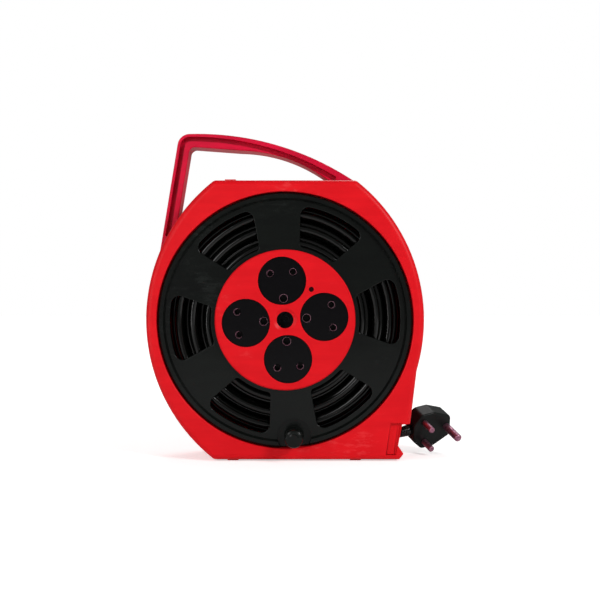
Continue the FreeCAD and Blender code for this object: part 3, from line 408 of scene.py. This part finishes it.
def moulded_polypropylene(name, face, deep, scuffed, roughness, specular=0.5):
    """The colour drifts from face to deep in broad waves, scuffs are paler and duller, grain is a bump."""
    material, tree, output = blank(name)
    place = add(tree, "ShaderNodeTexCoord")
    where = place.outputs["Object"]
    waves = add(tree, "ShaderNodeTexNoise", {"Vector": where, "Scale": per_metre(WAVE_MM), "Detail": 2.0})
    stretch = add(tree, "ShaderNodeMapping", {"Vector": where, "Scale": (0.25, 1.0, 2.0)})
    flow = add(tree, "ShaderNodeTexNoise",
               {"Vector": stretch.outputs["Vector"], "Scale": per_metre(FLOW_MM), "Detail": 3.0})
    both = add(tree, "ShaderNodeMath", {0: waves.outputs["Fac"], 1: flow.outputs["Fac"]},
               operation="MULTIPLY")
    drift = add(tree, "ShaderNodeMapRange", {"Value": both.outputs["Value"], "From Min": 0.16,
                                             "From Max": 0.36})
    colour = add(tree, "ShaderNodeMix", {"Factor": drift.outputs["Result"], "A": linear(deep),
                                         "B": linear(face)}, data_type="RGBA")
    slanted = add(tree, "ShaderNodeMapping", {"Vector": where, "Rotation": (0.3, 0.7, 0.2),
                                              "Scale": (0.6, 1.0, 1.8)})
    scratch = add(tree, "ShaderNodeTexNoise",
                  {"Vector": slanted.outputs["Vector"], "Scale": per_metre(SCUFF_MM), "Detail": 6.0,
                   "Roughness": 0.72})
    patches = add(tree, "ShaderNodeTexNoise", {"Vector": where, "Scale": per_metre(PATCH_MM),
                                               "Detail": 1.0})
    worn = add(tree, "ShaderNodeMath", {0: scratch.outputs["Fac"], 1: patches.outputs["Fac"]},
               operation="MULTIPLY")
    scuff = add(tree, "ShaderNodeMapRange", {"Value": worn.outputs["Value"], "From Min": 0.355,
                                             "From Max": 0.44, "To Max": 0.35})
    paint = add(tree, "ShaderNodeMix", {"Factor": scuff.outputs["Result"], "A": colour.outputs["Result"],
                                        "B": linear(scuffed)}, data_type="RGBA")
    dull = add(tree, "ShaderNodeMapRange", {"Value": worn.outputs["Value"], "From Min": 0.30,
                                            "From Max": 0.42, "To Min": roughness,
                                            "To Max": roughness + 0.08})
    grain = add(tree, "ShaderNodeTexNoise", {"Vector": where, "Scale": per_metre(GRAIN_MM), "Detail": 2.0})
    sink = add(tree, "ShaderNodeBump", {"Height": waves.outputs["Fac"], "Strength": 0.25,
                                        "Distance": 0.0012})
    skin = add(tree, "ShaderNodeBump", {"Height": grain.outputs["Fac"], "Strength": 0.16,
                                        "Distance": 0.00012, "Normal": sink.outputs["Normal"]})
    plastic = add(tree, "ShaderNodeBsdfPrincipled",
                  {"Base Color": paint.outputs["Result"], "Roughness": dull.outputs["Result"], "IOR": 1.49,
                   "Specular IOR Level": specular, "Normal": skin.outputs["Normal"]})
    tree.links.new(plastic.outputs["BSDF"], output.inputs["Surface"])
    return material


def wear(material, *names):
    """Puts one material on all the slots of the CAD nodes with these names."""
    for name in names:
        data = nodes[name].data
        data.materials.clear()
        data.materials.append(material)
    print(material.name, "on", len(names), "pieces")


red_casing = moulded_polypropylene("red_polypropylene_spark_grain", CASING_RED, "#D60C18", "#E84648", 0.38,
                                   0.14)
wear(red_casing, "front_casing", "rear_casing", "socket_plate", "outlet_guide")
# The handle is the casing's red plastic; its darker, more purple red is painted shade, as it stands back from
# the front face, out of the light.
shaded_red_handle = moulded_polypropylene("red_polypropylene_painted_shade_spark_grain", "#D60B36", "#C40830", "#E04060",
                                       0.36, 0.15)
wear(shaded_red_handle, "carry_handle")
black_drum = moulded_polypropylene("black_polypropylene_satin", "#0D100E", "#0A0C0B", "#1C201E", 0.18, 0.2)
wear(black_drum, "front_flange", "drum_core", "drum_hub", "rear_flange", "winding_knob", "knob_cap")

# %% [markdown]
# ## Sockets and plug: hard moulding resin
# The faces of the sockets and the two halves of the plug are pressed from urea resin, a hard plastic
# that takes heat and sparks. Pressed in a polished mould it comes out smoother and shinier than
# polypropylene, with tiny pits and pale rub marks where plugs have been pushed in and dragged off.

# %% Finish: pressed urea resin
RUB_MM = 3.0
PIT_MM = 0.6


def pressed_resin(name, face, rubbed, roughness):
    """A near-black gloss, with rub marks from thin stretched noise and a fine pitting in the normal."""
    material, tree, output = blank(name)
    place = add(tree, "ShaderNodeTexCoord")
    where = place.outputs["Object"]
    slanted = add(tree, "ShaderNodeMapping", {"Vector": where, "Rotation": (0.0, 0.6, 0.0),
                                              "Scale": (0.5, 1.0, 1.6)})
    rubs = add(tree, "ShaderNodeTexNoise", {"Vector": slanted.outputs["Vector"], "Scale": per_metre(RUB_MM),
                                            "Detail": 5.0, "Roughness": 0.7})
    marks = add(tree, "ShaderNodeMapRange", {"Value": rubs.outputs["Fac"], "From Min": 0.62,
                                             "From Max": 0.74, "To Max": 0.5})
    colour = add(tree, "ShaderNodeMix", {"Factor": marks.outputs["Result"], "A": linear(face),
                                         "B": linear(rubbed)}, data_type="RGBA")
    dull = add(tree, "ShaderNodeMapRange", {"Value": rubs.outputs["Fac"], "From Min": 0.35,
                                            "From Max": 0.75, "To Min": roughness,
                                            "To Max": roughness + 0.06})
    pits = add(tree, "ShaderNodeTexNoise", {"Vector": where, "Scale": per_metre(PIT_MM), "Detail": 2.0})
    skin = add(tree, "ShaderNodeBump", {"Height": pits.outputs["Fac"], "Strength": 0.12,
                                        "Distance": 0.0001})
    resin = add(tree, "ShaderNodeBsdfPrincipled",
                {"Base Color": colour.outputs["Result"], "Roughness": dull.outputs["Result"], "IOR": 1.55,
                 "Specular IOR Level": 0.12, "Normal": skin.outputs["Normal"]})
    tree.links.new(resin.outputs["BSDF"], output.inputs["Surface"])
    return material


socket_resin = pressed_resin("black_urea_resin_pressed", "#050406", "#1A181C", 0.2)
wear(socket_resin, "socket_insert_top", "socket_insert_left", "socket_insert_bottom", "socket_insert_right",
     "busbar_carrier", "thermal_cutout", "cord_clamp")
plug_resin = pressed_resin("charcoal_urea_resin_pressed", "#111413", "#2C302E", 0.38)
wear(plug_resin, "plug_body", "plug_cover")

# %% [markdown]
# ## Cable sheath
# The sheath is extruded PVC round three twisted cores. It leaves the die smooth and glossy, and the
# cores show through as a very shallow spiral swell. Coiling and dragging take the shine off in places.

# %% Finish: extruded sheath
SWELL_MM = 26.0
DRAG_MM = 5.0


def extruded_sheath(name, face, dusty, roughness):
    """A glossy black with broad dull patches, thin drag marks and a shallow uneven swell in the normal."""
    material, tree, output = blank(name)
    place = add(tree, "ShaderNodeTexCoord")
    where = place.outputs["Object"]
    cores = add(tree, "ShaderNodeTexNoise", {"Vector": where, "Scale": per_metre(SWELL_MM), "Detail": 1.0})
    drag = add(tree, "ShaderNodeTexNoise", {"Vector": where, "Scale": per_metre(DRAG_MM), "Detail": 5.0,
                                            "Roughness": 0.65})
    dust = add(tree, "ShaderNodeMapRange", {"Value": drag.outputs["Fac"], "From Min": 0.50,
                                            "From Max": 0.74, "To Max": 0.6})
    colour = add(tree, "ShaderNodeMix", {"Factor": dust.outputs["Result"], "A": linear(face),
                                         "B": linear(dusty)}, data_type="RGBA")
    dull = add(tree, "ShaderNodeMapRange", {"Value": drag.outputs["Fac"], "From Min": 0.35,
                                            "From Max": 0.75, "To Min": roughness,
                                            "To Max": roughness + 0.08})
    swell = add(tree, "ShaderNodeBump", {"Height": cores.outputs["Fac"], "Strength": 0.2,
                                         "Distance": 0.0008})
    skin = add(tree, "ShaderNodeBump", {"Height": drag.outputs["Fac"], "Strength": 0.04, "Distance": 0.0001,
                                        "Normal": swell.outputs["Normal"]})
    rubber = add(tree, "ShaderNodeBsdfPrincipled",
                 {"Base Color": colour.outputs["Result"], "Roughness": dull.outputs["Result"], "IOR": 1.53,
                  "Specular IOR Level": 0.3, "Normal": skin.outputs["Normal"]})
    tree.links.new(rubber.outputs["BSDF"], output.inputs["Surface"])
    return material


sheath = extruded_sheath("black_pvc_extruded", "#040504", "#0C0E0D", 0.07)
for piece in (winding, tail, relief):
    piece.data.materials.append(sheath)
wear(sheath, "cable_inner_end")
wear(extruded_sheath("brown_pvc_core", "#5A2F1A", "#74492F", 0.3), "line_lead")
wear(extruded_sheath("blue_pvc_core", "#1B4EA0", "#3B68B0", 0.3), "neutral_lead")
wear(extruded_sheath("green_pvc_core", "#3F8A2A", "#7FA832", 0.3), "earth_lead")

# %% [markdown]
# ## Metals
# The pins and contacts are brass, drawn and turned, with fine rings from the lathe. The plug's pins
# are tinted pink, darker in patches. The contacts in the sockets are painted bright pink: a painted
# reflection of the red plastic round them, so they glint pink in the holes. Screws, knob pin and
# spring are steel with bright zinc, whose crystals show as soft patches. The axle with its washer and
# screw is blackened steel, and its near-black is partly painted shade, so the hole in the hub stays dark.

# %% Finish: brass, zinc-plated and blackened steel
def worked_metal(name, bright, tarnished, roughness, patch_mm, mark_mm):
    """A metal whose colour and shine drift in patches, with fine tool marks in the normal."""
    material, tree, output = blank(name)
    place = add(tree, "ShaderNodeTexCoord")
    where = place.outputs["Object"]
    patches = add(tree, "ShaderNodeTexNoise", {"Vector": where, "Scale": per_metre(patch_mm), "Detail": 4.0,
                                               "Roughness": 0.6})
    old = add(tree, "ShaderNodeMapRange", {"Value": patches.outputs["Fac"], "From Min": 0.40,
                                           "From Max": 0.68})
    colour = add(tree, "ShaderNodeMix", {"Factor": old.outputs["Result"], "A": linear(bright),
                                         "B": linear(tarnished)}, data_type="RGBA")
    dull = add(tree, "ShaderNodeMapRange", {"Value": patches.outputs["Fac"], "From Min": 0.35,
                                            "From Max": 0.7, "To Min": roughness,
                                            "To Max": roughness + 0.18})
    marks = add(tree, "ShaderNodeTexNoise", {"Vector": where, "Scale": per_metre(mark_mm), "Detail": 3.0})
    skin = add(tree, "ShaderNodeBump", {"Height": marks.outputs["Fac"], "Strength": 0.15,
                                        "Distance": 0.00008})
    metal = add(tree, "ShaderNodeBsdfPrincipled", {"Base Color": colour.outputs["Result"], "Metallic": 1.0,
                                                   "Roughness": dull.outputs["Result"],
                                                   "Normal": skin.outputs["Normal"]})
    tree.links.new(metal.outputs["BSDF"], output.inputs["Surface"])
    return material


# The plug pins are brass tinted pink, darker in patches.
wear(worked_metal("pink_tinted_brass_turned", "#B58496", "#84506A", 0.36, 3.0, 0.5), "plug_line_pin",
     "plug_neutral_pin", "plug_earth_pin")
# The contacts' bright pink is a painted reflection of the red plastic round them.
wear(worked_metal("brass_stamped_painted_red_reflection", "#E8B4C4", "#C97A9A", 0.22, 4.0, 0.6), "line_busbar",
     "neutral_busbar", "earth_busbar")
wear(worked_metal("yellow_brass_turned", "#D8B36A", "#B58E4A", 0.25, 3.0, 0.5), "terminal_screws",
     "axle_bush")
zinc = worked_metal("steel_bright_zinc", "#C9CCD0", "#9FA3A8", 0.30, 2.5, 0.5)
wear(zinc, "casing_screws", "handle_side_screws", "handle_top_screws", "flange_screws", "clamp_screws",
     "knob_pin", "button_spring", "plug_screw")
# Blackened steel; its near-black is partly painted shade for the deep hole in the hub.
wear(worked_metal("steel_black_oxide_painted_shade", "#232427", "#151618", 0.42, 2.5, 0.5), "axle", "axle_washer",
     "axle_screw")

# %% [markdown]
# ## Reset button
# The button of the overload cut-out is a small turned stub of acetal, of so dark a red that it is
# nearly black, and smoother than the casing.

# %% Finish: acetal
wear(moulded_polypropylene("dark_red_acetal", "#2A0508", "#240406", "#401418", 0.3, 0.08), "reset_button")
dressed = [name for name in nodes if not name.startswith(("wound_cable", "cable_tail", "plug_strain"))]
print("nodes shown:", len(dressed))

# %% [markdown]
# ## Finish

# %% Finish
bpy.context.view_layer.update()
